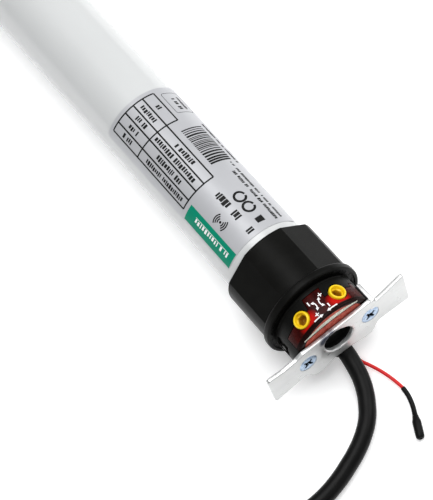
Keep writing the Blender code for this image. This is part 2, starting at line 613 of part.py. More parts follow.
def make_leads():
    make_tube("power_cable", "cable_black", CABLE_ROUTE, CABLE_D)
    make_tube("antenna_wire", "aerial_red", AERIAL_ROUTE, AERIAL_D)

    x, y, z = AERIAL_ROUTE[-1]
    before = Vector(AERIAL_ROUTE[-2])
    heading = (Vector((x, y, z)) - before).normalized()
    tip = [Vector((x, y, z)) + heading * d for d in (0.35, 4.0, 7.5, 10.9)]
    make_tube("antenna_tip", "cable_black", [(p.x, p.y, 0.1 + AERIAL_TIP_D / 2) for p in tip], AERIAL_TIP_D)

    make_tube("cable_tail", "cable_black", TAIL_ROUTE, CABLE_D)
    spread = (COIL_COLUMNS / 2) * CABLE_D
    inner, outer = COIL_MID_R - spread, COIL_MID_R + spread
    top = COIL_LAYERS * CABLE_D
    upright = Matrix.Rotation(-pi / 2, 4, "Y")
    bm = lathe([(-0.05, inner), (-0.05, outer), (-top, outer), (-top, inner)], 28)
    place = Matrix.Translation(Vector((FACE_X + COIL_CENTRE[0], COIL_CENTRE[1], 0.05)) * MM) @ upright
    finish_mesh("power_cable_coil", bm, "cable_black", place)

    for name, ((side_a, up_a), (side_b, up_b)) in CORES.items():
        points = []
        for i, (x, y) in enumerate(CORE_ROUTE):
            t = i / (len(CORE_ROUTE) - 1)
            blend = t * t * (3 - 2 * t)
            before = Vector(CORE_ROUTE[max(i - 1, 0)])
            heading = (Vector(CORE_ROUTE[min(i + 1, len(CORE_ROUTE) - 1)]) - before).normalized()
            side = side_a + (side_b - side_a) * blend
            points.append((x - heading.y * side, y + heading.x * side, up_a + (up_b - up_a) * blend))
        make_tube(f"core_{name}", f"core_{name}", points, CORE_D)


def build():
    for obj in list(bpy.data.objects):
        bpy.data.objects.remove(obj)

    make_bracket_plate()
    make_bracket_screws()
    make_head_body()
    make_limit_cover()
    make_cable_connector()
    make_adjusters()
    make_limit_cams()
    make_limit_frame()
    make_limit_switches()
    make_limit_gears()
    make_drive_crown(empty("crown_axis", CROWN_START))
    make_motor_tube()
    make_rating_label()
    make_electronics()
    make_stator()
    make_rotor(empty("rotor_axis", 213))
    make_brake()
    make_ring_gear()
    carriers = [empty("carrier_1_axis", STAGE_STARTS[0]), empty("output_axis", STAGE_STARTS[1])]
    make_planets(carriers)
    make_carriers(carriers)
    make_output_end(carriers[1])
    make_leads()


build()
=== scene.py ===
"""Looks of a tubular roller shutter motor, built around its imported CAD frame.

Lengths below are in millimetres and are turned into metres where a mesh is placed. A place along the motor is
a station: the distance from the bracket's outer face into the motor, so x = -station. Angles about the
motor's axis are in degrees and go from +Y towards +Z.
"""
import json
import random
from math import acos, atan2, cos, degrees, dist, hypot, pi, radians, sin, tan

import bmesh
import bpy
from mathutils import Matrix, Vector
from mathutils.geometry import tessellate_polygon


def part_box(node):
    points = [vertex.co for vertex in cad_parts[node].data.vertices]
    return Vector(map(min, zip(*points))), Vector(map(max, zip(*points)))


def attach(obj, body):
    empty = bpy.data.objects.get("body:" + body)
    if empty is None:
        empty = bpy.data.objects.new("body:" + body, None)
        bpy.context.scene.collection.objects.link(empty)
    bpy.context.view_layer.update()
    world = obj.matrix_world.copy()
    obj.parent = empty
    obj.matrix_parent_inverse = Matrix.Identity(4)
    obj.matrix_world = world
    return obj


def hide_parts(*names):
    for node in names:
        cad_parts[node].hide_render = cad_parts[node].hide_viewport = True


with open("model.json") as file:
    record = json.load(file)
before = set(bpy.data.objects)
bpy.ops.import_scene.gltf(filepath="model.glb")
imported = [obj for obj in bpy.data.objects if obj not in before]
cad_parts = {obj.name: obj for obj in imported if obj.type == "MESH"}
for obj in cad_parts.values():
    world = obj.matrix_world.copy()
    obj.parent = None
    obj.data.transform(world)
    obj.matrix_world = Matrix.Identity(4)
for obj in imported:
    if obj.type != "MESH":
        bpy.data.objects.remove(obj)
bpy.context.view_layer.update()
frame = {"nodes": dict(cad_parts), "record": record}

MM = 0.001
FACE_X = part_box("bracket_plate")[1].x
crown_low, crown_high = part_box("drive_crown")
AXIS_Z = (crown_low.z + crown_high.z) / 2
TO_ROW = Matrix.Translation((FACE_X, 0, AXIS_Z)) @ Matrix.Scale(MM, 4)

TUBE_R = 17.5
FILM_THICKNESS = 0.25
LABEL_R = TUBE_R + FILM_THICKNESS
NECK_R = 18.2
FLANGE_R = 21.35
ADJUSTER_STATION = 8.3
ADJUSTER_ANGLES = {"up": 62.0, "down": 118.0}
CUP_BORE_R = 3.75
SCREW_Y = 14.74


# ---- materials
EVEN = (1, 1, 1)
BUMP_DISTANCE = 0.0002
COAT_ROUGHNESS = 0.1


def new_material(name):
    mat = bpy.data.materials.new(name)
    mat.use_nodes = True
    return mat, mat.node_tree, mat.node_tree.nodes["Principled BSDF"]


def add(tree, kind, values=(), **settings):
    """A new node with its settings and the values of its inputs."""
    node = tree.nodes.new(kind)
    for key, value in settings.items():
        setattr(node, key, value)
    for key, value in dict(values).items():
        node.inputs[key].default_value = value
    return node


def coordinates(tree):
    return add(tree, "ShaderNodeTexCoord").outputs["Object"]


def noise(tree, scale, detail=3.0, stretch=EVEN):
    """Noise over the piece's own coordinates; scale is in cycles per metre."""
    mapping = add(tree, "ShaderNodeMapping", {"Scale": stretch})
    texture = add(tree, "ShaderNodeTexNoise", {"Scale": scale, "Detail": detail})
    tree.links.new(coordinates(tree), mapping.inputs["Vector"])
    tree.links.new(mapping.outputs["Vector"], texture.inputs["Vector"])
    return texture.outputs["Fac"]


def spread(tree, value, low=0.0, high=1.0, start=0.3, end=0.7):
    """Map a value to a range; start and end fit a noise, which rarely goes further."""
    values = {"From Min": start, "From Max": end, "To Min": low, "To Max": high}
    node = add(tree, "ShaderNodeMapRange", values)
    tree.links.new(value, node.inputs["Value"])
    return node.outputs["Result"]


def mix_colour(tree, factor, first, second):
    """Mix two colours, each a tuple or an output, by an output."""
    node = add(tree, "ShaderNodeMix", data_type="RGBA")
    tree.links.new(factor, node.inputs["Factor"])
    colour_inputs = [s for s in node.inputs if s.type == "RGBA"]
    for socket, colour in zip(colour_inputs, (first, second)):
        if isinstance(colour, tuple):
            socket.default_value = (*colour, 1.0)
        else:
            tree.links.new(colour, socket)
    return [s for s in node.outputs if s.type == "RGBA"][0]


def shade(colour, factor):
    return tuple(min(1.0, c * factor) for c in colour)


def surface(tree, shader, colour, fine, rough, relief, metallic=0.0, specular=0.5, height=None):
    """Give a material its colour, its roughness by a fine noise, and its relief by that or by a height."""
    tree.links.new(colour, shader.inputs["Base Color"])
    tree.links.new(spread(tree, fine, *rough), shader.inputs["Roughness"])
    node = add(tree, "ShaderNodeBump", {"Strength": relief, "Distance": BUMP_DISTANCE})
    tree.links.new(height or fine, node.inputs["Height"])
    tree.links.new(node.outputs["Normal"], shader.inputs["Normal"])
    shader.inputs["Metallic"].default_value = metallic
    shader.inputs["Specular IOR Level"].default_value = specular


def finish(name, colour, roughness, metallic=0.0, vary=0.12, blotch=90, rough_vary=0.06, grain=2500,
           relief=0.1, specular=0.5, stretch=EVEN, coat=0.0):
    """A material whose colour, roughness and relief all vary at the scale of the real surface."""
    mat, tree, shader = new_material(name)
    cloud = spread(tree, noise(tree, blotch, 4.0, stretch))
    tint = mix_colour(tree, cloud, shade(colour, 1 - vary), shade(colour, 1 + vary))
    rough = (max(0.02, roughness - rough_vary), roughness + rough_vary)
    surface(tree, shader, tint, noise(tree, grain, 3.0, stretch), rough, relief, metallic, specular)
    shader.inputs["Coat Weight"].default_value = coat
    shader.inputs["Coat Roughness"].default_value = COAT_ROUGHNESS
    return mat


def at_point(tree, centre, inner, outer):
    """1 within a distance of a point in the row frame and 0 beyond another; all in metres."""
    distance = add(tree, "ShaderNodeVectorMath", {1: centre}, operation="DISTANCE")
    tree.links.new(coordinates(tree), distance.inputs[0])
    return spread(tree, distance.outputs["Value"], 1.0, 0.0, inner, outer)


def off_axis(tree, height, inner, outer):
    """0 within a distance of a line along the motor, at a height above its axis, and 1 beyond another."""
    flat = add(tree, "ShaderNodeVectorMath", {1: (0.0, 1.0, 1.0)}, operation="MULTIPLY")
    distance = add(tree, "ShaderNodeVectorMath", {1: (0.0, 0.0, AXIS_Z + height * MM)}, operation="DISTANCE")
    tree.links.new(coordinates(tree), flat.inputs[0])
    tree.links.new(flat.outputs["Vector"], distance.inputs[0])
    return spread(tree, distance.outputs["Value"], 0.0, 1.0, inner * MM, outer * MM)


def row_point(station, radius, angle):
    return TO_ROW @ Vector((-station, radius * cos(radians(angle)), radius * sin(radians(angle))))


def along_x(tree, start, end):
    """0 where the station is less than the first one and 1 beyond the second."""
    split = add(tree, "ShaderNodeSeparateXYZ")
    tree.links.new(coordinates(tree), split.inputs["Vector"])
    return spread(tree, split.outputs["X"], 1.0, 0.0, FACE_X - end * MM, FACE_X - start * MM)


def red_plastic():
    """Dark see-through red with painted light: brighter where light gets in beside the adjusters, and a pale
    orange-red painted highlight on its front face.
    """
    mat, tree, shader = new_material("red_cover")
    cloud = spread(tree, noise(tree, 350, 4.0))
    base = mix_colour(tree, cloud, (0.018, 0.0012, 0.001), (0.055, 0.003, 0.002))
    # painted light: the red turns brighter round each adjuster, where light comes through the cover
    for station, angle in ((5.8, 72.0), (5.0, 62.0), (5.8, 109.0), (5.0, 117.0)):
        painted_glow = at_point(tree, row_point(station, NECK_R, angle), 0.0012, 0.0038)
        base = mix_colour(tree, painted_glow, base, (0.46, 0.006, 0.003))
    # painted highlight: streaked pale orange-red across the front face
    streaks = spread(tree, noise(tree, 500, 2.0, (1, 1, 3)))
    salmon_highlight = mix_colour(tree, streaks, (0.30, 0.022, 0.012), (0.62, 0.14, 0.095))
    face = mix_colour(tree, off_axis(tree, 3.3, 13.95, 14.25), salmon_highlight, (0.010, 0.0025, 0.002))
    base = mix_colour(tree, along_x(tree, 3.6, 4.0), face, base)
    surface(tree, shader, base, noise(tree, 1500, 2.0), (0.22, 0.34), 0.05, specular=0.07)
    return mat


def zinc_sheet():
    """Zinc plated sheet, with painted shade and a painted dark reflection in the hollow beside the middle
    hole.
    """
    mat = finish("zinc_plate", (0.63, 0.635, 0.63), 0.34, 0.75, 0.06, 120, 0.08, 900, 0.10, 0.5, (1, 0.25, 1))
    tree = mat.node_tree
    shader = tree.nodes["Principled BSDF"]
    tint = shader.inputs["Base Color"].links[0].from_socket
    # painted shade and dark reflection: bluish dark patches in the hollow beside the middle hole
    for y, z, inner, outer in ((-5.3, 6.6, 0.0021, 0.0034), (-2.2, 8.2, 0.0006, 0.0022)):
        painted_reflection_shade = at_point(tree, TO_ROW @ Vector((0.0, y, z)), inner, outer)
        tint = mix_colour(tree, painted_reflection_shade, tint, (0.05, 0.055, 0.09))
    tree.links.new(tint, shader.inputs["Base Color"])
    return mat


def screw_zinc():
    """Blue zinc plating, with painted shade: it gets dark down in the cross recess."""
    mat, tree, shader = new_material("zinc_screw")
    base = mix_colour(tree, spread(tree, noise(tree, 700)), (0.24, 0.34, 0.49), (0.52, 0.64, 0.78))
    # painted shade: nearly black deeper than about half a millimetre below the head's face, down in the
    # recess
    base = mix_colour(tree, along_x(tree, 0.46, 0.75), base, (0.004, 0.008, 0.022))
    surface(tree, shader, base, noise(tree, 3000, 2.0), (0.22, 0.36), 0.10, metallic=0.9)
    return mat


def cup_yellow():
    """Yellow plastic, with painted shade: brown down in the sockets."""
    mat, tree, shader = new_material("yellow_plastic")
    base = mix_colour(tree, spread(tree, noise(tree, 300)), (0.84, 0.55, 0.008), (0.94, 0.66, 0.012))
    for angle in ADJUSTER_ANGLES.values():
        # painted shade: brown round the bottom of each socket
        painted_socket_shade = at_point(tree, row_point(ADJUSTER_STATION, 15.0, angle), 0.0021, 0.0031)
        base = mix_colour(tree, painted_socket_shade, base, (0.40, 0.19, 0.006))
    surface(tree, shader, base, noise(tree, 2500, 2.0), (0.28, 0.40), 0.06, specular=0.35)
    return mat


def striped(name, first, second, across, period, roughness):
    """Two metallic tones in bands along an axis, such as stacked sheet or wound wire; period in metres."""
    mat, tree, shader = new_material(name)
    wave = add(tree, "ShaderNodeTexWave", {"Scale": 0.314 / period, "Distortion": 0.4},
               wave_type="BANDS", bands_direction=across)
    tree.links.new(coordinates(tree), wave.inputs["Vector"])
    bands = wave.outputs["Fac"]
    rough = (roughness - 0.08, roughness + 0.08)
    surface(tree, shader, mix_colour(tree, bands, first, second), noise(tree, 800), rough, 0.3, 0.9,
            height=bands)
    return mat


FINISHES = {
    "trim_silver": ((0.68, 0.68, 0.58), 0.40, 0.3, 0.45, 1300, 0.08, 3000, 0.15, 0.5, (1, 4, 1)),
    "black_plastic": ((0.0055, 0.0055, 0.005), 0.34, 0.0, 0.2, 160, 0.07, 3500, 0.10, 0.06),
    "white_coat": ((0.61, 0.62, 0.62), 0.24, 0.0, 0.012, 30, 0.03, 700, 0.03, 0.5, EVEN, 0.3),
    "label_film": ((0.485, 0.49, 0.51), 0.36, 0.15, 0.03, 60, 0.04, 1800, 0.03),
    "natural_plastic": ((0.72, 0.70, 0.63), 0.45, 0.0, 0.05),
    "gear_plastic": ((0.82, 0.81, 0.76), 0.38, 0.0, 0.04),
    "board": ((0.015, 0.17, 0.07), 0.40, 0.0, 0.12, 400, 0.06, 2500, 0.1, 0.5, EVEN, 0.4),
    "relay_blue": ((0.04, 0.13, 0.50), 0.36, 0.0, 0.05),
    "capacitor_white": ((0.78, 0.78, 0.75), 0.34, 0.0, 0.04),
    "cast_aluminium": ((0.60, 0.61, 0.62), 0.46, 0.9, 0.06, 200, 0.08, 1600, 0.25),
    "steel": ((0.55, 0.55, 0.56), 0.30, 1.0, 0.05, 300, 0.08, 2500, 0.08, 0.5, (0.3, 1, 1)),
    "bronze": ((0.58, 0.40, 0.18), 0.42, 1.0, 0.08, 500),
    "friction": ((0.10, 0.085, 0.075), 0.85, 0.0, 0.25, 1200, 0.08, 1500, 0.5),
    "cable_black": ((0.0055, 0.0055, 0.0055), 0.36, 0.0, 0.2, 150, 0.06, 2600, 0.10, 0.09),
    "aerial_red": ((0.60, 0.004, 0.004), 0.34, 0.0, 0.10, 500, 0.05, 3000, 0.05, 0.3),
    "core_brown": ((0.16, 0.06, 0.02), 0.36, 0.0, 0.08),
    "core_blue": ((0.02, 0.10, 0.50), 0.36, 0.0, 0.08),
    "core_green": ((0.10, 0.36, 0.04), 0.36, 0.0, 0.08),
    "print_black": ((0.006, 0.006, 0.006), 0.5, 0.0, 0.2, 900, 0.05, 3000, 0.05, 0.2),
    "print_green": ((0.0, 0.235, 0.14), 0.40, 0.0, 0.04, 300, 0.04, 1800, 0.03, 0.15),
    "print_white": ((0.86, 0.86, 0.86), 0.40, 0.0, 0.03, 900, 0.04, 3000, 0.05),
    "copper_wire": ((0.80, 0.42, 0.20), 0.28, 1.0, 0.06, 900),
    "floor": ((0.90, 0.90, 0.90), 0.65, 0.0, 0.008, 6, 0.05, 60, 0.01, 0.2),
}
MAT = {name: finish(name, *settings) for name, settings in FINISHES.items()}
MAT["zinc_plate"] = zinc_sheet()
MAT["zinc_screw"] = screw_zinc()
MAT["red_cover"] = red_plastic()
MAT["yellow_plastic"] = cup_yellow()
MAT["lamination"] = striped("lamination", (0.20, 0.20, 0.21), (0.36, 0.36, 0.37), "X", 0.0007, 0.42)
MAT["copper"] = striped("copper", (0.50, 0.20, 0.06), (0.78, 0.38, 0.14), "DIAGONAL", 0.0006, 0.30)


# ---- mesh helpers
def place(name, data):
    """A new object in the scene."""
    obj = bpy.data.objects.new(name, data)
    bpy.context.scene.collection.objects.link(obj)
    return obj


def fasten(obj, body, stands_for):
    """Make a piece ride on a body, in place of the named CAD nodes."""
    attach(obj, body)
    if stands_for:
        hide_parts(*stands_for.split())


def smooth(mesh, sharp):
    mesh.shade_smooth()
    mesh.set_sharp_from_angle(angle=radians(sharp))


def piece(name, bm, mat, stands_for="", body="motor_body", sharp=32):
    """Turn a mesh in motor millimetres into a piece that rides on a body."""
    bmesh.ops.remove_doubles(bm, verts=bm.verts, dist=2e-4)
    bmesh.ops.recalc_face_normals(bm, faces=bm.faces)
    bm.transform(TO_ROW)
    mesh = bpy.data.meshes.new(name)
    bm.to_mesh(mesh)
    bm.free()
    smooth(mesh, sharp)
    mesh.materials.append(MAT[mat])
    obj = place(name, mesh)
    if body:
        fasten(obj, body, stands_for)
    return obj


def combine(obj, bm, operation="DIFFERENCE", sharp=32, whole=False):
    """Apply a Boolean with a mesh in motor millimetres as its tool."""
    cutter = piece("tool", bm, "steel", body=None)
    modifier = obj.modifiers.new("combine", "BOOLEAN")
    modifier.solver = "EXACT"
    modifier.operation = operation
    modifier.use_self = whole
    modifier.object = cutter
    bpy.context.view_layer.update()
    evaluated = obj.evaluated_get(bpy.context.evaluated_depsgraph_get())
    mesh = bpy.data.meshes.new_from_object(evaluated)
    obj.modifiers.clear()
    mesh.materials.clear()
    mesh.materials.append(obj.data.materials[0])
    obj.data = mesh
    for polygon in mesh.polygons:
        polygon.material_index = 0
    smooth(mesh, sharp)
    bpy.data.objects.remove(cutter)


def ease(obj, width):
    """Round the sharp edges that a Boolean or an extrusion leaves."""
    modifier = obj.modifiers.new("ease", "BEVEL")
    modifier.width = width * MM
    modifier.segments = 2
    modifier.limit_method = "ANGLE"
    modifier.angle_limit = radians(35)


def arc(radius, first, last, count, centre=(0.0, 0.0)):
    step = radians(last - first) / (count - 1)
    angles = [radians(first) + step * i for i in range(count)]
    return [(centre[0] + radius * cos(angle), centre[1] + radius * sin(angle)) for angle in angles]


def circle(radius, count, centre=(0.0, 0.0)):
    return arc(radius, 0, 360 - 360 / count, count, centre)


def quad(x0, x1, y0, y1):
    return [(x0, y0), (x1, y0), (x1, y1), (x0, y1)]


def turned(points, angle, shift=0.0):
    """Points turned about the origin by an angle in radians and then moved along the first axis."""
    c, s = cos(angle), sin(angle)
    return [(a * c - b * s + shift, a * s + b * c) for a, b in points]


def bridge(bm, rings, closed=False):
    """Faces between rings of vertices that follow one another; a ring may be a single vertex."""
    for ring, following in zip(rings, rings[1:] + rings[:1] if closed else rings[1:]):
        count = max(len(ring), len(following))
        for i in range(count):
            j = (i + 1) % count
            corners = dict.fromkeys((ring[i % len(ring)], ring[j % len(ring)],
                                     following[j % len(following)], following[i % len(following)]))
            if len(corners) > 2:
                bm.faces.new(list(corners))


def rounded(points, steps=4):
    """Closed outline whose points may carry a third number, the radius of that corner."""
    result = []
    for i, entry in enumerate(points):
        here = Vector(entry[:2])
        radius = entry[2] if len(entry) > 2 else 0
        if not radius:
            result.append(tuple(here))
            continue
        before = Vector(points[i - 1][:2]) - here
        after = Vector(points[(i + 1) % len(points)][:2]) - here
        half = before.angle(after) / 2
        reach = min(radius / tan(half), 0.49 * before.length, 0.49 * after.length)
        true_radius = reach * tan(half)
        centre = here + (before.normalized() + after.normalized()).normalized() * true_radius / sin(half)
        start = here + before.normalized() * reach - centre
        stop = here + after.normalized() * reach - centre
        first = atan2(start.y, start.x)
        turn = (atan2(stop.y, stop.x) - first + pi) % (2 * pi) - pi
        for k in range(steps + 1):
            angle = first + turn * k / steps
            result.append((centre.x + true_radius * cos(angle), centre.y + true_radius * sin(angle)))
    return result


def softened(outline, radius):
    return rounded([(*point, radius) for point in outline])


def on_line(a, b, share):
    return a[0] + (b[0] - a[0]) * share, a[1] + (b[1] - a[1]) * share


def dense(loop, longest):
    """The loop with its long sides split."""
    result = []
    for a, b in zip(loop, loop[1:] + loop[:1]):
        parts = max(1, int(dist(a, b) / longest + 0.999))
        result += [on_line(a, b, k / parts) for k in range(parts)]
    return result


def lathe(profile, count, y=0.0, z=0.0):
    """Closed profile of (station, radius) turned about a line parallel to the motor's axis."""
    bm = bmesh.new()
    rings = []
    for station, radius in profile:
        outline = circle(radius, count) if radius else [(0.0, 0.0)]
        rings.append([bm.verts.new((-station, y + a, z + b)) for a, b in outline])
    bridge(bm, rings, closed=True)
    return bm


def counter_clockwise(loop):
    area = sum(a[0] * b[1] - b[0] * a[1] for a, b in zip(loop, loop[1:] + loop[:1]))
    return list(loop) if area > 0 else list(reversed(loop))


def inset(loop, distance):
    """A counter-clockwise loop moved inwards, or outwards for a negative distance."""
    if not distance:
        return list(loop)
    result = []
    for i, point in enumerate(loop):
        here = Vector(point)
        u = (here - Vector(loop[i - 1])).normalized()
        v = (Vector(loop[(i + 1) % len(loop)]) - here).normalized()
        normal = Vector((-u.y - v.y, u.x + v.x))
        moved = here + normal * distance / max(0.35, 1 + u.dot(v))
        result.append((moved.x, moved.y))
    return result


def slab(outline, low, high, holes=(), edge=0.0, both=False, steps=3, bm=None):
    """A plate with holes between two heights, its upper rim or both rims rounded; edge is the radius."""
    bm = bm or bmesh.new()
    loops = [counter_clockwise(outline)] + [counter_clockwise(h) for h in holes]
    levels = []
    turns = [k / steps * pi / 2 for k in range(steps + 1)] if edge else [pi / 2]
    if both and edge:
        levels += [(low + edge * (1 - cos(t)), edge * (1 - sin(t))) for t in turns]
    else:
        levels.append((low, 0.0))
    levels += [(high - edge * (1 - cos(t)), edge * (1 - sin(t))) for t in reversed(turns)]
    rows = []
    for height, shrink in levels:
        row = []
        for k, loop in enumerate(loops):
            moved = inset(loop, shrink if k == 0 else -shrink)
            row.append([bm.verts.new((a, b, height)) for a, b in moved])
        rows.append(row)
    for lower, upper in zip(rows, rows[1:]):
        for pair in zip(lower, upper):
            bridge(bm, pair)
    for row in (rows[0], rows[-1]):
        flat = [[Vector((v.co.x, v.co.y, 0)) for v in ring] for ring in row]
        verts = [v for ring in row for v in ring]
        for triangle in tessellate_polygon(flat):
            bm.faces.new([verts[i] for i in triangle])
    return bm


WRAP_STEP = 3.0  # degrees between the cuts of a flat mesh that gets bent


def wrapped(bm, radius):
    """Bend a flat mesh round the axis: x along the motor, y the arc at that radius, z the height above it."""
    ys = [v.co.y for v in bm.verts]
    pitch = radians(WRAP_STEP) * radius
    k = int(min(ys) // pitch)
    while k * pitch < max(ys):
        if k * pitch > min(ys):
            bmesh.ops.bisect_plane(bm, geom=bm.verts[:] + bm.edges[:] + bm.faces[:], dist=1e-5,
                                   plane_co=(0, k * pitch, 0), plane_no=(0, 1, 0))
        k += 1
    for v in bm.verts:
        angle = v.co.y / radius
        rho = radius + v.co.z
        v.co = (v.co.x, rho * cos(angle), rho * sin(angle))
    return bm


def facing_front(bm):
    """Turn a slab drawn across (y, z) so that its height runs along x."""
    for v in bm.verts:
        v.co = (v.co.z, v.co.x, v.co.y)
    return bm


def prism(outline, first, last, holes=(), edge=0.0, both=True, steps=3):
    """A slab across the motor between two stations; the first is nearer the bracket."""
    return facing_front(slab(outline, -last, -first, holes, edge, both, steps))


def radial(bm, angle):
    """Move a mesh drawn with its x along an adjuster's axis, from the motor's axis outwards, to its place."""
    out = Vector((0, cos(radians(angle)), sin(radians(angle))))
    along = Vector((1, 0, 0))
    turn = Matrix((out, along, out.cross(along))).transposed().to_4x4()
    bm.transform(Matrix.Translation((-ADJUSTER_STATION, 0, 0)) @ turn)
    return bm


def unrolled(points, radius):
    """Points given as (station, angle) in the flat coordinates that wrapped() bends."""
    return [(-s, radians(a) * radius) for s, a in points]


def stroke(points, width):
    """Outline of a line of a given width through points in flat coordinates."""
    left, right = [], []
    for i, point in enumerate(points):
        ahead = Vector(points[min(i + 1, len(points) - 1)]) - Vector(points[max(i - 1, 0)])
        side = Vector((-ahead.y, ahead.x)).normalized() * width / 2
        left.append((point[0] + side.x, point[1] + side.y))
        right.append((point[0] - side.x, point[1] - side.y))
    return left + right[::-1]


def arrowhead(tip, heading, size):
    """Triangle whose point is at the tip and which points along the heading."""
    forward = Vector(heading).normalized()
    side = Vector((-forward.y, forward.x))
    tip = Vector(tip)
    half = side * size * 0.55
    return [tuple(c) for c in (tip, tip - forward * size + half, tip - forward * size - half)]


def printed(name, shapes, radius, thickness, mat):
    """Thin flat shapes laid round the axis as one piece."""
    bm = bmesh.new()
    for shape in shapes:
        slab(shape, 0.0, thickness, bm=bm)
    piece(name, wrapped(bm, radius), mat)


# ---- camera, light and floor
def make_stage():
    """Camera at a three-quarter view from over the head, soft lights and a pale floor."""
    scene = bpy.context.scene
    right = Vector((0.584517, 0.785737, -0.202380))
    up = Vector((-0.658357, 0.605076, 0.447715))
    forward = Vector((-0.474242, 0.128459, -0.870972))
    aim = Vector((FACE_X - 61.70 * MM, -12.34 * MM, AXIS_Z))
    distance = 0.79784
    camera = place("camera", bpy.data.cameras.new("camera"))
    camera.data.lens = 149.42
    camera.data.sensor_width = 36.0
    camera.data.clip_start = 0.01
    turn = Matrix((right, up, -forward)).transposed().to_4x4()
    camera.matrix_world = Matrix.Translation(aim - forward * distance) @ turn
    scene.camera = camera

    scene.view_settings.view_transform = "Standard"
    world = bpy.data.worlds.new("studio")
    world.use_nodes = True
    background = world.node_tree.nodes["Background"]
    background.inputs["Color"].default_value = (0.96, 0.98, 1.0, 1.0)
    background.inputs["Strength"].default_value = 0.26
    scene.world = world

    centre = Vector((0.16, 0.0, 0.02))
    for name, offset, size, power in (
            ("key", (-0.05, 0.05, 1.00), 0.80, 8.5),
            ("fill", (0.10, 0.80, 0.60), 0.60, 4.0),
            ("front", (0.70, -0.20, 0.65), 0.50, 1.4)):
        light = bpy.data.lights.new(name, "AREA")
        light.energy = power
        light.size = size
        obj = place(name, light)
        obj.location = centre + Vector(offset)
        obj.rotation_euler = (-Vector(offset)).to_track_quat("-Z", "Y").to_euler()

    bm = bmesh.new()
    bmesh.ops.create_grid(bm, x_segments=8, y_segments=8, size=4.0)
    mesh = bpy.data.meshes.new("floor")
    bm.to_mesh(mesh)
    bm.free()
    mesh.materials.append(MAT["floor"])
    floor = place("floor", mesh)
    shader = MAT["floor"].node_tree.nodes["Principled BSDF"]
    shader.inputs["Emission Color"].default_value = (1.0, 1.0, 1.0, 1.0)
    shader.inputs["Emission Strength"].default_value = 0.30
    floor.location = (0, 0, -0.0002)


# ---- leads
CABLE_D = 6.8
CORE_D = 2.0
AERIAL_D = 1.4
CABLE_ROUTE = [  # beyond the bracket face, across, height of the centre above the floor
    (-1.8, 0.9, 7.0), (1.3, 0.6, 6.85), (4.4, 0.1, 6.4), (7.2, -0.4, 5.75), (10.0, -1.1, 5.0),
    (15.0, -3.1, 4.0), (20.0, -6.1, 3.5), (24.4, -9.6, 3.5), (28.2, -14.2, 3.5), (31.5, -19.8, 3.5),
    (34.2, -26.3, 3.5), (36.5, -33.2, 3.5), (38.0, -41.0, 3.5), (38.5, -50.1, 3.5), (39.7, -56.9, 3.5),
    (42.5, -63.2, 3.5), (46.6, -68.8, 3.5), (51.8, -73.3, 3.5), (58.0, -76.5, 3.5), (64.7, -78.2, 3.5),
    (74.6, -79.4, 3.5), (84.0, -80.2, 3.46),
]
COIL_CENTRE = Vector((117.5, -40.0, 0.0))
COIL_START, COIL_TURNS = radians(252), 7.2
COIL_OUTER = 42.68  # radius of the outer column's centre line
COIL_GAP = 0.06  # keeps the lowest turn off the floor
COIL_CHANGE = 0.2  # how much of a turn a change takes
COIL_STEPS = [  # after how many turns the lead changes its place, inwards and up
    (0.8, 0, 1), (1.8, 0, 1), (2.8, 0, 1), (3.6, 1, 0), (4.4, 0, -1), (5.4, 0, -1), (6.4, 0, -1),
]
TURN_POINTS = 24
TAIL_HEIGHT = 3.47
TAIL_ROUTE = [
    (150.1, -54.6), (151.8, -47.3), (151.6, -39.9), (149.5, -32.8), (145.6, -26.4), (140.2, -21.3),
    (133.7, -17.7), (126.5, -16.0),
]
CORE_ROUTE = [
    (126.2, -16.0), (123.5, -15.8), (120.5, -16.0), (117.6, -16.5), (114.7, -17.2), (111.9, -18.3),
    (109.2, -19.7), (106.7, -21.3), (104.4, -23.2),
]
CORES = {  # sideways from the lead's middle and up, at the sheath's end and at the tip
    "brown": ((1.3, 2.7), (6.0, 1.05)),
    "blue": ((0.0, 4.9), (0.3, 1.05)),
    "green": ((-1.3, 2.7), (-6.5, 1.05)),
}
AERIAL_ROUTE = [
    (-1.8, 3.5, 3.8), (0.2, 3.4, 3.6), (2.1, 3.3, 3.3), (4.0, 3.5, 3.0), (7.3, 4.9, 2.6), (10.2, 6.1, 2.2),
    (13.5, 7.2, 1.8), (16.6, 8.0, 1.4), (19.3, 8.5, 1.1), (22.4, 8.8, 1.0), (25.5, 8.5, 1.0),
    (28.3, 7.8, 1.0), (31.0, 6.8, 1.0), (33.4, 5.6, 1.3),
]


def coil_point(turn):
    """Centre of the lead after a number of turns: up the outer column, then down the inner one."""
    radius, height = COIL_OUTER, 0.5 * CABLE_D + COIL_GAP
    for middle, inwards, upwards in COIL_STEPS:
        share = min(1.0, max(0.0, (turn - middle) / COIL_CHANGE + 0.5))
        share = 0.5 - 0.5 * cos(pi * share)
        radius -= share * inwards * CABLE_D
        height += share * upwards * CABLE_D
    angle = COIL_START + 2 * pi * turn
    return COIL_CENTRE + Vector((radius * cos(angle), radius * sin(angle), height))


def lead_points():
    """The whole power lead: along the floor, into the coil, round it and out to its bare end inside."""
    points = [Vector(p) for p in CABLE_ROUTE]
    entry = coil_point(0.0)
    reach = (entry - points[-1]).length * 0.38
    first = points[-1] + (points[-1] - points[-2]).normalized() * reach
    second = entry - (coil_point(0.01) - entry).normalized() * reach
    points.append((points[-1] + 3 * first + 3 * second + entry) / 8)
    count = int(COIL_TURNS * TURN_POINTS)
    points += [coil_point(COIL_TURNS * i / count) for i in range(count + 1)]
    return points + [Vector((*p, TAIL_HEIGHT)) for p in TAIL_ROUTE]


def row_lead(points):
    """Points of a lead in the row frame, in metres."""
    return [Vector((FACE_X + x * MM, y * MM, z * MM)) for x, y, z in points]


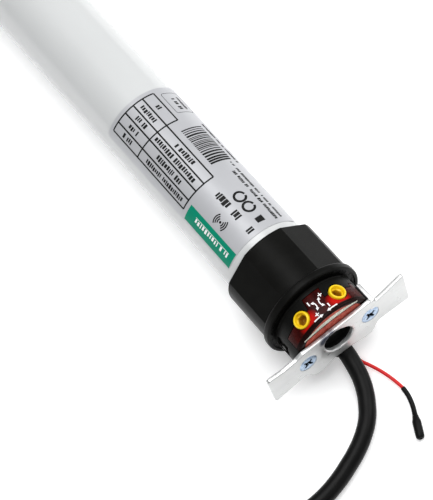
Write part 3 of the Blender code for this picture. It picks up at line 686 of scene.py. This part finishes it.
def lead(name, points, diameter, mat, stands_for="", resolution=8):
    """A round lead through points (beyond the bracket face, across, height above the floor)."""
    curve = bpy.data.curves.new(name, "CURVE")
    curve.dimensions = "3D"
    curve.bevel_depth = diameter / 2 * MM
    curve.bevel_resolution = resolution
    curve.resolution_u = 6
    curve.use_fill_caps = True
    spline = curve.splines.new("BEZIER")
    spline.bezier_points.add(len(points) - 1)
    for knot, point in zip(spline.bezier_points, row_lead(points)):
        knot.co = point
        knot.handle_left_type = "AUTO"
        knot.handle_right_type = "AUTO"
    curve.materials.append(MAT[mat])
    obj = place(name, curve)
    fasten(obj, "motor_body", stands_for)
    return obj


def smooth_line(points, step=0.25):
    """Points close together on a smooth curve through others."""
    line = []
    for i in range(len(points) - 1):
        before, a, b, after = (Vector(points[max(0, min(len(points) - 1, i + k))]) for k in (-1, 0, 1, 2))
        count = max(1, int((b - a).length / step))
        for k in range(count):
            t = k / count
            line.append(0.5 * (2 * a + (b - before) * t + (2 * before - 5 * a + 4 * b - after) * t ** 2
                               + (3 * a - before - 3 * b + after) * t ** 3))
    return line + [Vector(points[-1])]


def swept(name, points, profile, count, stands_for=""):
    """A black body turned along a line: profile gives (share of the line's length, radius)."""
    line = smooth_line(points)
    lengths = [0.0]
    for a, b in zip(line, line[1:]):
        lengths.append(lengths[-1] + (b - a).length)
    bm = bmesh.new()
    rings = []
    for share, radius in profile:
        at = share * lengths[-1]
        k = min(sum(1 for x in lengths[1:] if x <= at), len(line) - 2)
        step = line[k + 1] - line[k]
        centre = line[k] + step * ((at - lengths[k]) / step.length)
        centre = centre - Vector((0, 0, AXIS_Z / MM))
        side = step.normalized().cross(Vector((0, 0, 1))).normalized()
        over = side.cross(step.normalized())
        outline = circle(radius, count) if radius else [(0.0, 0.0)]
        rings.append([bm.verts.new(centre + side * a + over * b) for a, b in outline])
    bridge(bm, rings)
    return piece(name, bm, "cable_black", stands_for)


def make_leads():
    """Power lead with its bare cores, and the radio aerial with its sleeve and tip."""
    cable = lead("power_lead", lead_points(), CABLE_D, "cable_black",
                 "power_cable power_cable_coil cable_tail")
    for name, ((side_a, up_a), (side_b, up_b)) in CORES.items():
        points = []
        for i, (x, y) in enumerate(CORE_ROUTE):
            t = i / (len(CORE_ROUTE) - 1)
            blend = t * t * (3 - 2 * t)
            before = Vector(CORE_ROUTE[max(i - 1, 0)])
            heading = (Vector(CORE_ROUTE[min(i + 1, len(CORE_ROUTE) - 1)]) - before).normalized()
            side = side_a + (side_b - side_a) * blend
            points.append((x - heading.y * side, y + heading.x * side, up_a + (up_b - up_a) * blend))
        stripped, end = [Vector(p) for p in points[-2:]]
        core = f"core_{name}"
        lead(f"lead_{core}", points[:-1], CORE_D, core, core, 4)
        strands = [stripped + (end - stripped) * share for share in (-0.1, 0.4, 1.0)]
        lead(f"lead_strands_{name}", strands, 1.1, "copper_wire", "", 4)

    wire = lead("aerial_wire", AERIAL_ROUTE, AERIAL_D, "aerial_red", "antenna_wire", 6)
    ripples = [(0.06 + 0.88 * k / 12, 0.94 + 0.02 * (k % 2)) for k in range(13)]
    profile = [(0.0, 0.6), (0.0, 0.86), (0.02, 0.95), *ripples, (0.97, 0.92), (1.0, 0.72)]
    sleeve = swept("aerial_sleeve", AERIAL_ROUTE[9:], profile, 20)
    end = Vector(AERIAL_ROUTE[-1])
    heading = end - Vector(AERIAL_ROUTE[-2])
    heading = Vector((heading.x, heading.y, 0)).normalized()
    tip_line = [Vector((end.x, end.y, z)) + heading * d
                for d, z in ((-0.3, 1.3), (1.5, 1.45), (3.4, 1.75), (5.5, 1.8), (7.8, 1.8), (10.7, 1.75))]
    profile = [(0.0, 0.0), (0.0, 0.96), (0.08, 1.02), (0.2, 1.28), (0.31, 1.5), (0.34, 1.66), (0.38, 1.7),
               (0.6, 1.68), (0.8, 1.7), (0.93, 1.62), (0.98, 1.35), (1.0, 1.0), (1.0, 0.62), (0.97, 0.55),
               (0.97, 0.0)]
    tip = swept("aerial_tip", tip_line, profile, 28, "antenna_tip")


# ---- bracket
def bracket_outline():
    """The plate seen from in front: two ears and a pair of lobes under the middle hole."""
    lobe = arc(4.6, -15, -112, 9, centre=(11.2, -8.5))
    top = [(-31.4, 8.2, 1.0), (-25.0, 7.4, 4.0), (-18.6, 7.9, 2.0), (-15.6, 9.0, 1.5), (16.4, 9.0, 1.2),
           (18.7, 6.2, 0.5), (31.4, 9.5, 0.6)]
    right = [(32.0, 9.0, 0.4), (32.0, -8.4, 0.8), (31.4, -9.0, 0.8), (17.2, -7.8, 2.0), *lobe,
             (6.0, -12.0, 3.0), (3.6, -11.2, 1.5)]
    left = [(-4.0, -10.4, 2.0), *[(-y, z) for y, z in reversed(lobe)], (-17.2, -7.4, 2.0), (-31.4, -8.8, 0.8),
            (-32.0, -8.2, 0.6), (-32.0, 7.6, 0.6)]
    return counter_clockwise(rounded(top + right + left, 4))


def pressed(y, z):
    """How far the sheet is pressed in at a point: seats round both screws and a dish at the middle hole."""
    seat_depth, dish_depth = 0.22, 0.9

    def fade(away, radius, slope):
        return max(0.0, 1 - max(0.0, away - radius) / slope)

    seat = max(fade(hypot(y - side * SCREW_Y, z), 4.2, 1.5) for side in (1, -1))
    away = hypot(y, z)
    dish = fade(away, 6.2, 4.2) ** 2
    tilt = max(0.0, (-y + 0.6 * z) / away)
    return seat_depth * seat + dish_depth * dish * (0.15 + 0.85 * tilt)


def make_bracket():
    """Pressed plate with a middle hole, two countersinks and a bent lug."""
    outline = dense(bracket_outline(), 0.9)
    thickness, edge, hole_r, lip = 1.8, 0.32, 6.25, 0.45
    quarter = [k / 3 * pi / 2 for k in range(4)]
    shares = [0.0, 0.04, 0.09, 0.15, 0.22, 0.30, 0.40, 0.5, 0.6, 0.7, 0.8, 0.9, 1.0]
    inner = inset(outline, edge)

    def ring(radius):
        return [(radius * y / hypot(y, z), radius * z / hypot(y, z)) for y, z in outline]

    def between(first, share):
        return [on_line(a, b, share) for a, b in zip(first, inner)]

    levels = [(ring(hole_r + lip * (1 - cos(t))), -lip * (1 - sin(t))) for t in quarter]
    levels += [(between(ring(hole_r + lip), share), 0.0) for share in shares[1:]]
    rim = [(inset(outline, edge * (1 - sin(t))), edge * (1 - cos(t))) for t in quarter]
    levels += [(points, -depth) for points, depth in rim[1:]]
    levels += [(points, depth - thickness) for points, depth in reversed(rim)]
    levels += [(between(ring(hole_r), share), -thickness) for share in reversed(shares[:-1])]
    bm = bmesh.new()
    bridge(bm, [[bm.verts.new((x, y, z)) for y, z in points] for points, x in levels], closed=True)
    for v in bm.verts:
        v.co.x -= pressed(v.co.y, v.co.z) * (1.0 if v.co.x > -thickness / 2 else 0.35)
    plate = piece("bracket", bm, "zinc_plate", "bracket_plate")
    for side in (1, -1):
        sink = [(-1.0, 0), (-1.0, 4.02), (0.35, 4.02), (2.3, 2.1), (4.0, 2.1), (4.0, 0)]
        combine(plate, lathe(sink, 40, side * SCREW_Y))
    bend = rounded([(0.05, 15.6, 0.4), (0.05, 18.3, 1.2), (9.6, 18.3, 0.8), (9.6, 16.6, 0.5),
                    (2.0, 16.6, 0.5), (1.75, 15.6, 0.2)], 5)
    lug = slab([(-s, y) for s, y in bend], 2.8, 8.3, edge=0.35, both=True)
    combine(plate, lug, "UNION", whole=True)


def cross_outline(reach, half):
    """Outline of a cross recess."""
    quarter = [(reach, -0.7 * half), (reach, 0.7 * half), (half * 1.15, half * 1.15)]
    return [point for k in range(4) for point in turned(quarter, k * pi / 2 + 0.4)]


def make_screws():
    """Two countersunk screws with a ribbed shank for a thread."""
    thread = [(2.6 + 0.8 * k + rise, radius) for k in range(11)
              for rise, radius in ((0, 1.5), (0.25, 1.25), (0.5, 1.25), (0.75, 1.5))]
    profile = [(0.12, 0), (0.10, 2.2), (0.16, 3.6), (0.26, 3.85), (0.42, 3.92), (1.9, 2.0), (2.3, 1.5),
               *thread, (11.5, 1.0), (11.5, 0)]
    for name, side, turn in (("left", -1, 0.35), ("right", 1, 0.2)):
        screw = piece(f"screw_{name}", lathe(profile, 48, side * SCREW_Y), "zinc_screw",
                      f"bracket_screw_{name}")
        cross = turned(cross_outline(2.5, 0.56), turn, side * SCREW_Y)
        combine(screw, prism(cross, -1.0, 1.6))
        recess = [(-0.5, 0), (-0.5, 1.35), (0.1, 1.35), (1.5, 0.5), (1.5, 0)]
        combine(screw, lathe(recess, 24, side * SCREW_Y))
        ease(screw, 0.08)


# ---- head
COVER_FOOTPRINT = [  # (station, angle): the red cover unrolled
    (3.15, 29.2), (3.15, 150.8), (9.0, 150.8), (9.0, 118.0), (9.0, 104.0), (13.6, 102.0), (13.6, 77.5),
    (9.0, 79.5), (9.0, 62.0), (9.0, 37.5), (10.8, 37.5), (10.8, 29.2),
]


def footprint(grow):
    """The red cover's outline in flat coordinates, made wider all round."""
    flat = counter_clockwise(dense(unrolled(COVER_FOOTPRINT, NECK_R), 2.0))
    return inset(flat, -grow)


def bore_for_cups(obj):
    """Cut the holes that the adjusters' cups stand in."""
    for angle in ADJUSTER_ANGLES.values():
        profile = [(-23.0, 0), (-23.0, CUP_BORE_R), (-11.0, CUP_BORE_R), (-11.0, 0)]
        combine(obj, radial(lathe(profile, 48), angle))


def sector(inner, outer, first, last):
    return arc(outer, first, last, 41) + arc(inner, last, first, 41)


def make_head():
    """Fixed head: a cup with openings, a side latch and two ribs."""
    profile = rounded([(2.1, 6.2, 0.3), (2.1, 18.2, 0.5), (15.6, 18.2, 0.3), (15.6, 16.2), (60.0, 16.2, 0.4),
                       (60.0, 14.6, 0.3), (5.4, 14.6, 0.6), (5.4, 0), (4.2, 0), (4.2, 6.2, 0.3)], 3)
    head = piece("head", lathe(profile, 144), "black_plastic", "head_body")
    combine(head, wrapped(slab(footprint(0.14), -3.4, 2.0), NECK_R))
    combine(head, prism(sector(7.0, 19.5, 28.8, 151.2), 1.0, 3.4))
    bore_for_cups(head)
    for stations, ys, zs in (((1.0, 15.3), (-4.8, 7.4), (-20, -9.4)),       # the connector's opening
                             ((-1.0, 16.6), (16.35, 20), (2.3, 9.2)),       # room for the bracket's lug
                             ((1.0, 3.7), (-10.5, -4.6), (-20, -13.8)),     # the front corner
                             ((20.8, 28.2), (-6.3, 6.3), (-18, -12))):      # for the limit gear
        combine(head, prism(quad(*ys, *zs), *stations))
    pocket_depth = 1.1
    pocket = unrolled([(7.0, 163.5), (14.2, 161.5), (14.2, 182.0), (7.0, 182.0)], NECK_R)
    combine(head, wrapped(slab(softened(pocket, 0.8), -pocket_depth, 2.0), NECK_R))
    ease(head, 0.16)

    bm = bmesh.new()
    for station, angle, long, wide, tall in ((10.6, 176.0, 2.2, 2.2, 0.9), (8.4, 171.0, 0.8, 3.6, 0.5)):
        x, y = unrolled([(station, angle)], NECK_R)[0]
        outline = quad(x - long / 2, x + long / 2, y - wide / 2, y + wide / 2)
        slab(softened(outline, 0.3), -pocket_depth - 0.2, -pocket_depth + tall, edge=0.2, bm=bm)
    piece("head_latch", wrapped(bm, NECK_R), "black_plastic")
    bm = bmesh.new()
    for first, last in ((38.6, 76.0), (103.6, 149.0)):
        rib = unrolled([(14.6, first), (14.6, last), (15.1, last), (15.1, first)], NECK_R)
        slab(dense(rib, 2.0), -0.2, 0.22, edge=0.12, bm=bm)
    piece("head_ribs", wrapped(bm, NECK_R), "black_plastic")


def make_cover():
    """Red limit cover with a silver line across its front and white marks."""
    shell = slab(footprint(0.0), -3.0, 0.0, edge=0.28)
    cover = piece("cover", wrapped(shell, NECK_R), "red_cover", "limit_cover")
    face = prism(sector(7.1, NECK_R, 29.2, 150.8), 2.1, 3.05, edge=0.8, both=False, steps=5)
    combine(cover, face, "UNION")
    bore_for_cups(cover)
    ease(cover, 0.10)

    reach, step, top = 12.4, 0.4, 14.55
    trim = [(y, top - 2.2 * (y / 12.7) ** 2) for y in [-reach + step * k for k in range(63)]]
    taper = [1 - 0.75 * (abs(y) / reach) ** 2 for y, z in trim]
    bm = bmesh.new()
    for k, ((y, z), (y2, z2)) in enumerate(zip(trim, trim[1:])):
        half = 1.15 * taper[k]
        outline = [(y, z - half), (y2, z2 - half), (y2, z2 + half), (y, z + half)]
        slab(outline, -2.2, -2.04 if k % 2 else -1.98, bm=bm)
    piece("cover_trim", facing_front(bm), "trim_silver")
    seam = [(y, z - 1.3 * share) for (y, z), share in zip(trim, taper)]
    bm = slab(stroke(seam, 0.4), -2.2, -1.96)
    piece("cover_seam", facing_front(bm), "print_black")

    shapes = []
    left = [(10.2, 97.2), (10.0, 95.2), (9.5, 93.9), (8.8, 93.3), (8.0, 93.3), (7.2, 94.1), (6.7, 95.1),
            (6.3, 96.2)]
    right = [(10.4, 84.6), (9.9, 86.2), (9.2, 87.6), (8.4, 88.3), (7.7, 88.3), (7.0, 87.8), (6.5, 86.8),
             (6.2, 85.2)]
    for path in (left, right):                   # which way the roller turns
        flat = unrolled(path, NECK_R)
        shapes.append(stroke(flat[1:-1], 0.42))
        for tip, behind in ((flat[0], flat[2]), (flat[-1], flat[-3])):
            shapes.append(arrowhead(tip, Vector(tip) - Vector(behind), 1.15))
    for path in (((3.8, 107.6), (3.75, 97.0), (3.7, 94.0)), ((3.85, 73.4), (3.8, 85.0), (3.75, 88.2))):
        flat = unrolled(path, NECK_R)
        shapes.append(stroke([flat[0], flat[1]], 0.5))
        shapes.append(arrowhead(flat[2], Vector(flat[2]) - Vector(flat[0]), 1.3))
    long, thin = 0.85, 0.19
    for x, y in unrolled([(5.2, 99.6), (10.9, 82.0)], NECK_R):              # plus signs
        shapes.append(quad(x - long, x + long, y - thin, y + thin))
        shapes.append(quad(x - thin, x + thin, y - long, y + long))
    for first, last, angle in ((9.7, 11.5, 99.4), (4.6, 6.3, 81.8)):        # minus signs
        (x, y), (end, _) = unrolled([(first, angle), (last, angle)], NECK_R)
        shapes.append(quad(end, x, y - 0.24, y + 0.24))
    printed("cover_marks", shapes, NECK_R, 0.05, "print_white")


def make_connector():
    """The lead's plug-in connector, with a collar round the lead."""
    outline = rounded([(-4.5, -13.4, 0.8), (-2.8, -16.4, 1.2), (5.9, -16.4, 1.0), (7.1, -13.0, 0.8),
                       (7.1, -9.8, 0.5), (-4.5, -9.8, 0.5)])
    connector = piece("connector", prism(outline, 2.5, 15.0, edge=0.3), "black_plastic",
                      "cable_connector")
    collar = rounded([(2.1, 0), (2.1, 4.3, 0.6), (14.0, 4.3), (14.0, 0)])
    combine(connector, lathe(collar, 64, 0.9, -14.35), "UNION")


def hexagon(radius, count):
    """Points all round a hexagon whose corners are at a radius."""
    points = []
    for k in range(count):
        turn = 2 * pi * k / count
        side = radius * cos(pi / 6) / cos((turn + pi / 6) % (pi / 3) - pi / 6)
        points.append((side * cos(turn), side * sin(turn)))
    return points


def make_adjusters():
    """Yellow setting cups with a hexagonal socket; each turns about its own axis."""
    outer = [(8.0, 1.2), (13.0, 1.2), (13.0, 3.1), (13.25, 3.35), (18.1, 3.35), (18.35, 3.30), (18.55, 3.18),
             (18.68, 3.0), (18.70, 2.85), (18.66, 2.68), (18.5, 2.56), (18.1, 2.46), (17.3, 2.36)]
    socket = [(16.9, 2.14), (13.9, 1.95), (13.8, 1.8)]
    for name, angle in ADJUSTER_ANGLES.items():
        bm = bmesh.new()
        levels = [(height, circle(radius, 48)) for height, radius in outer]
        levels += [(height, hexagon(radius, 48)) for height, radius in socket]
        rings = [[bm.verts.new((height, *point)) for point in points] for height, points in levels]
        bridge(bm, rings)
        bm.faces.new(rings[0])
        bm.faces.new(rings[-1])
        cup = piece(f"adjuster_cup_{name}", radial(bm, angle), "yellow_plastic", f"adjuster_{name}",
                    f"adjuster_{name}_screw", sharp=40)
        teeth = []
        for k in range(8):
            for r, turn in ((1.5, -0.33), (2.35, -0.08), (2.35, 0.08), (1.5, 0.33)):
                turn += 2 * pi * k / 8
                teeth.append((r * cos(turn), r * sin(turn)))
        combine(cup, radial(facing_front(slab(teeth, 8.6, 10.9)), angle), "UNION")


# ---- crown, tube and drive end
def with_flats(radius, flats, count, steps, first=0):
    """Outline of a round body with flats at a distance from the axis, the first at an angle."""
    half = degrees(acos(flats / radius))
    turn = 360 / count
    return [p for k in range(count)
            for p in arc(radius, turn * k + first + half, turn * (k + 1) + first - half, steps)]


def make_crown():
    """Round crown with four flats, a flange in front and teeth inside the flange."""
    outline = with_flats(20.2, 19.0, 4, 25, -45)
    body = prism(outline, 16.6, 42.9, holes=[circle(16.35, 96)], edge=0.4)
    crown = piece("crown", body, "black_plastic", "drive_crown", "crown", sharp=12)
    flange = rounded([(16.0, FLANGE_R, 0.8), (19.0, FLANGE_R, 0.9), (19.6, 19.2, 0.5), (19.6, 17.0),
                      (17.3, 17.0, 0.2), (17.3, 19.5, 0.3), (16.0, 19.8, 0.3)], 5)
    combine(crown, lathe(flange, 144), "UNION", sharp=12)
    groove = [(21.7, 12), (21.7, 18.25), (27.3, 18.25), (27.3, 12)]
    combine(crown, lathe(groove, 96), sharp=12)
    bm = bmesh.new()
    for k in range(30):
        angle = 12.0 * k
        teeth = arc(19.7, angle - 2.6, angle + 2.6, 4) + arc(18.5, angle + 2.0, angle - 2.0, 4)
        slab(teeth, -17.5, -16.5, edge=0.15, bm=bm)
    piece("crown_teeth", facing_front(bm), "black_plastic", body="crown")


def make_tube():
    first, last, inner_r = 43.2, 462.0, 16.5
    profile = rounded([(first, inner_r, 0.2), (first, TUBE_R, 0.25), (last, TUBE_R, 0.25),
                       (last, inner_r, 0.2)], 3)
    split = profile[:1]
    for a, b in zip(profile, profile[1:] + profile[:1]):
        parts = max(1, int(abs(b[0] - a[0]) / 20))
        split += [on_line(a, b, k / parts) for k in range(1, parts + 1)]
    piece("tube", lathe(split[:-1], 160), "white_coat", "motor_tube")


TABLE_TEXT = [  # first and last station, angle, height, and how full the line is
    (80.8, 105.4, 130.8, 2.0), (85.9, 102.0, 116.2, 2.2), (80.8, 108.0, 102.0, 2.2),
    (88.0, 100.2, 88.0, 2.2), (114.0, 120.6, 130.6, 2.1), (114.0, 121.0, 116.0, 2.1),
    (114.3, 121.6, 102.0, 2.1), (113.8, 123.2, 88.0, 2.1), (115.6, 121.2, 71.5, 2.1),
    (49.0, 54.6, 91.5, 3.1, 0.8), (57.0, 61.0, 91.5, 3.1, 0.8), (63.8, 72.0, 91.5, 3.1, 0.8),
]
OTHER_TEXT = [
    (81.5, 106.3, 31.0, 1.4, 0.9), (49.5, 82.0, 43.8, 1.3, 0.8), (49.0, 77.0, 52.4, 1.5, 0.8),
    (114.4, 122.6, 44.0, 1.9, 0.8), (114.4, 122.6, 34.0, 1.5, 0.8),
]


def text_bars(rng, first, last, angle, height, fill=0.62):
    """A row of short bars that stands for a line of small print."""
    shapes = []
    gap_chance = 0.14
    middle = radians(angle) * LABEL_R
    s = first
    while s < last - 0.3 * height:
        width = height * rng.choice((0.28, 0.36, 0.45, 0.45, 0.55))
        if rng.random() < gap_chance:
            s += height * 0.5
            continue
        end = min(s + width, last)
        low = middle - height / 2 * rng.choice((1.0, 1.0, 0.72))
        high = middle + height / 2 * rng.choice((1.0, 0.72, 0.72, 1.0))
        shapes.append(quad(-end, -s, low, high))
        s = end + height * (1 - fill) * 0.45
    return shapes


def label_box(first, last, low, high):
    """A rectangle on the label between two stations and two angles."""
    return quad(-last, -first, radians(low) * LABEL_R, radians(high) * LABEL_R)


def make_label():
    """Silver rating label with a green bar, a ruled table, signs, and bars in place of its text."""
    rng = random.Random(7)
    film = softened(unrolled([(46.8, 22.5), (46.8, 150.0), (128.0, 150.0), (128.0, 22.5)], TUBE_R), 1.2)
    piece("label", wrapped(slab(film, 0.03, FILM_THICKNESS), TUBE_R), "label_film", "rating_label")
    green = label_box(47.0, 76.0, 124.6, 147.2)
    printed("label_bar", [green], LABEL_R, 0.02, "print_green")
    white = text_bars(rng, 50.0, 71.0, 135.8, 1.9, 0.2) + [label_box(49.8, 71.0, 131.6, 132.2)]
    printed("label_bar_marks", white, LABEL_R + 0.02, 0.012, "print_white")

    rules = [((78.2, angle), (125.9, angle)) for angle in (137.6, 123.6, 108.8, 95.2, 80.6)]
    rules += [((109.2, 63.6), (125.9, 63.6)), ((78.2, 137.6), (78.2, 80.6)),
              ((109.3, 137.6), (109.3, 63.6)), ((125.9, 137.6), (125.9, 63.6))]
    ink = [stroke(unrolled(rule, LABEL_R), 0.66) for rule in rules]
    for row in TABLE_TEXT:
        ink += text_bars(rng, *row)
    for centre in unrolled([(58.9, 72.0), (64.6, 72.0)], LABEL_R):      # two rings and a square
        ink.append(stroke(arc(2.3, -80, 262, 32, centre), 1.0))
    x, y = unrolled([(51.8, 73.0)], LABEL_R)[0]
    ink.append([(x - 1.5, y - 1.8), (x + 1.5, y - 1.8), (x + 1.2, y + 1.5), (x - 1.2, y + 1.5)])
    centre = unrolled([(61.2, 112.2)], LABEL_R)[0]                      # radio sign
    ink.append(circle(0.55, 12, centre))
    for radius in (1.35, 2.25, 3.15):
        for side in (0, 180):
            ink.append(stroke(arc(radius, side - 44, side + 44, 12, centre), 0.56))
    s = 83.4                                                            # barcode
    while s < 104.0:
        width = rng.choice((0.4, 0.4, 0.6, 0.9))
        ink.append(label_box(s, min(s + width, 104.2), 38.5, 71.4))
        s += width + rng.choice((0.32, 0.42, 0.6))
    seal = softened(unrolled([(112.6, 25), (112.6, 56), (124.4, 56), (124.4, 25)], LABEL_R), 1.0)
    ink.append(stroke(seal + seal[:1], 0.22))
    for row in OTHER_TEXT:
        ink += text_bars(rng, *row)
    printed("label_print", ink, LABEL_R, 0.015, "print_black")


def make_drive_end():
    """Cast end cap, the wheel that drives the roller, and the clip that keeps it on its shaft."""
    cap = rounded([(434.0, 7.3), (434.0, 16.1), (462.3, 16.1), (462.3, TUBE_R), (468.0, TUBE_R, 0.6),
                   (468.0, 14.0, 0.4), (467.0, 13.6, 0.3), (467.0, 9.4, 0.3), (468.0, 9.0, 0.3),
                   (468.0, 7.3, 0.3)])
    end_cap = piece("end_cap", lathe(cap, 120), "cast_aluminium", "output_end_cap")
    for k in range(3):
        angle = 2 * pi * k / 3 + 0.4
        bore = [(466.0, 0), (466.0, 1.3), (469.0, 1.3), (469.0, 0)]
        combine(end_cap, lathe(bore, 24, 11.5 * cos(angle), 11.5 * sin(angle)))
    pockets = [softened(arc(15.6, middle - 15.5, middle + 15.5, 3) + arc(9.2, middle + 11, middle - 11, 3),
                        0.8) for middle in range(0, 360, 45)]
    body = prism(with_flats(20.4, 19.4, 8, 6), 472.0, 495.0, holes=[circle(5.3, 64), *pockets], edge=0.5)
    wheel = piece("wheel", body, "black_plastic", "drive_wheel", "output")
    for k in range(8):
        slot = turned(quad(17.0, 21.0, -2.0, 2.0), pi / 4 * k)
        combine(wheel, prism(slot, 475.0, 492.0))
    outline = (arc(7.4, -138, 138, 33) + arc(6.9, 142, 146, 3) + arc(5.25, 146, -146, 33)
               + arc(6.9, -146, -142, 3))
    clip = piece("clip", prism(outline, 495.3, 496.4, edge=0.12), "steel", "retaining_clip",
                 "output")
    for angle in (radians(134), -radians(134)):
        eye = [(494.0, 0), (494.0, 0.45), (498.0, 0.45), (498.0, 0)]
        combine(clip, lathe(eye, 16, 6.35 * cos(angle), 6.35 * sin(angle)))


def dress_frame():
    """Give every CAD node that stays its own finish."""
    wanted = {entry["node"]: entry["material_slot"] for entry in frame["record"]["subparts"]}
    for name, obj in frame["nodes"].items():
        obj.data.materials.clear()
        obj.data.materials.append(MAT[wanted[name]])


make_stage()
make_leads()
dress_frame()
make_bracket()
make_screws()
make_head()
make_cover()
make_connector()
make_adjusters()
make_crown()
make_tube()
make_label()
make_drive_end()
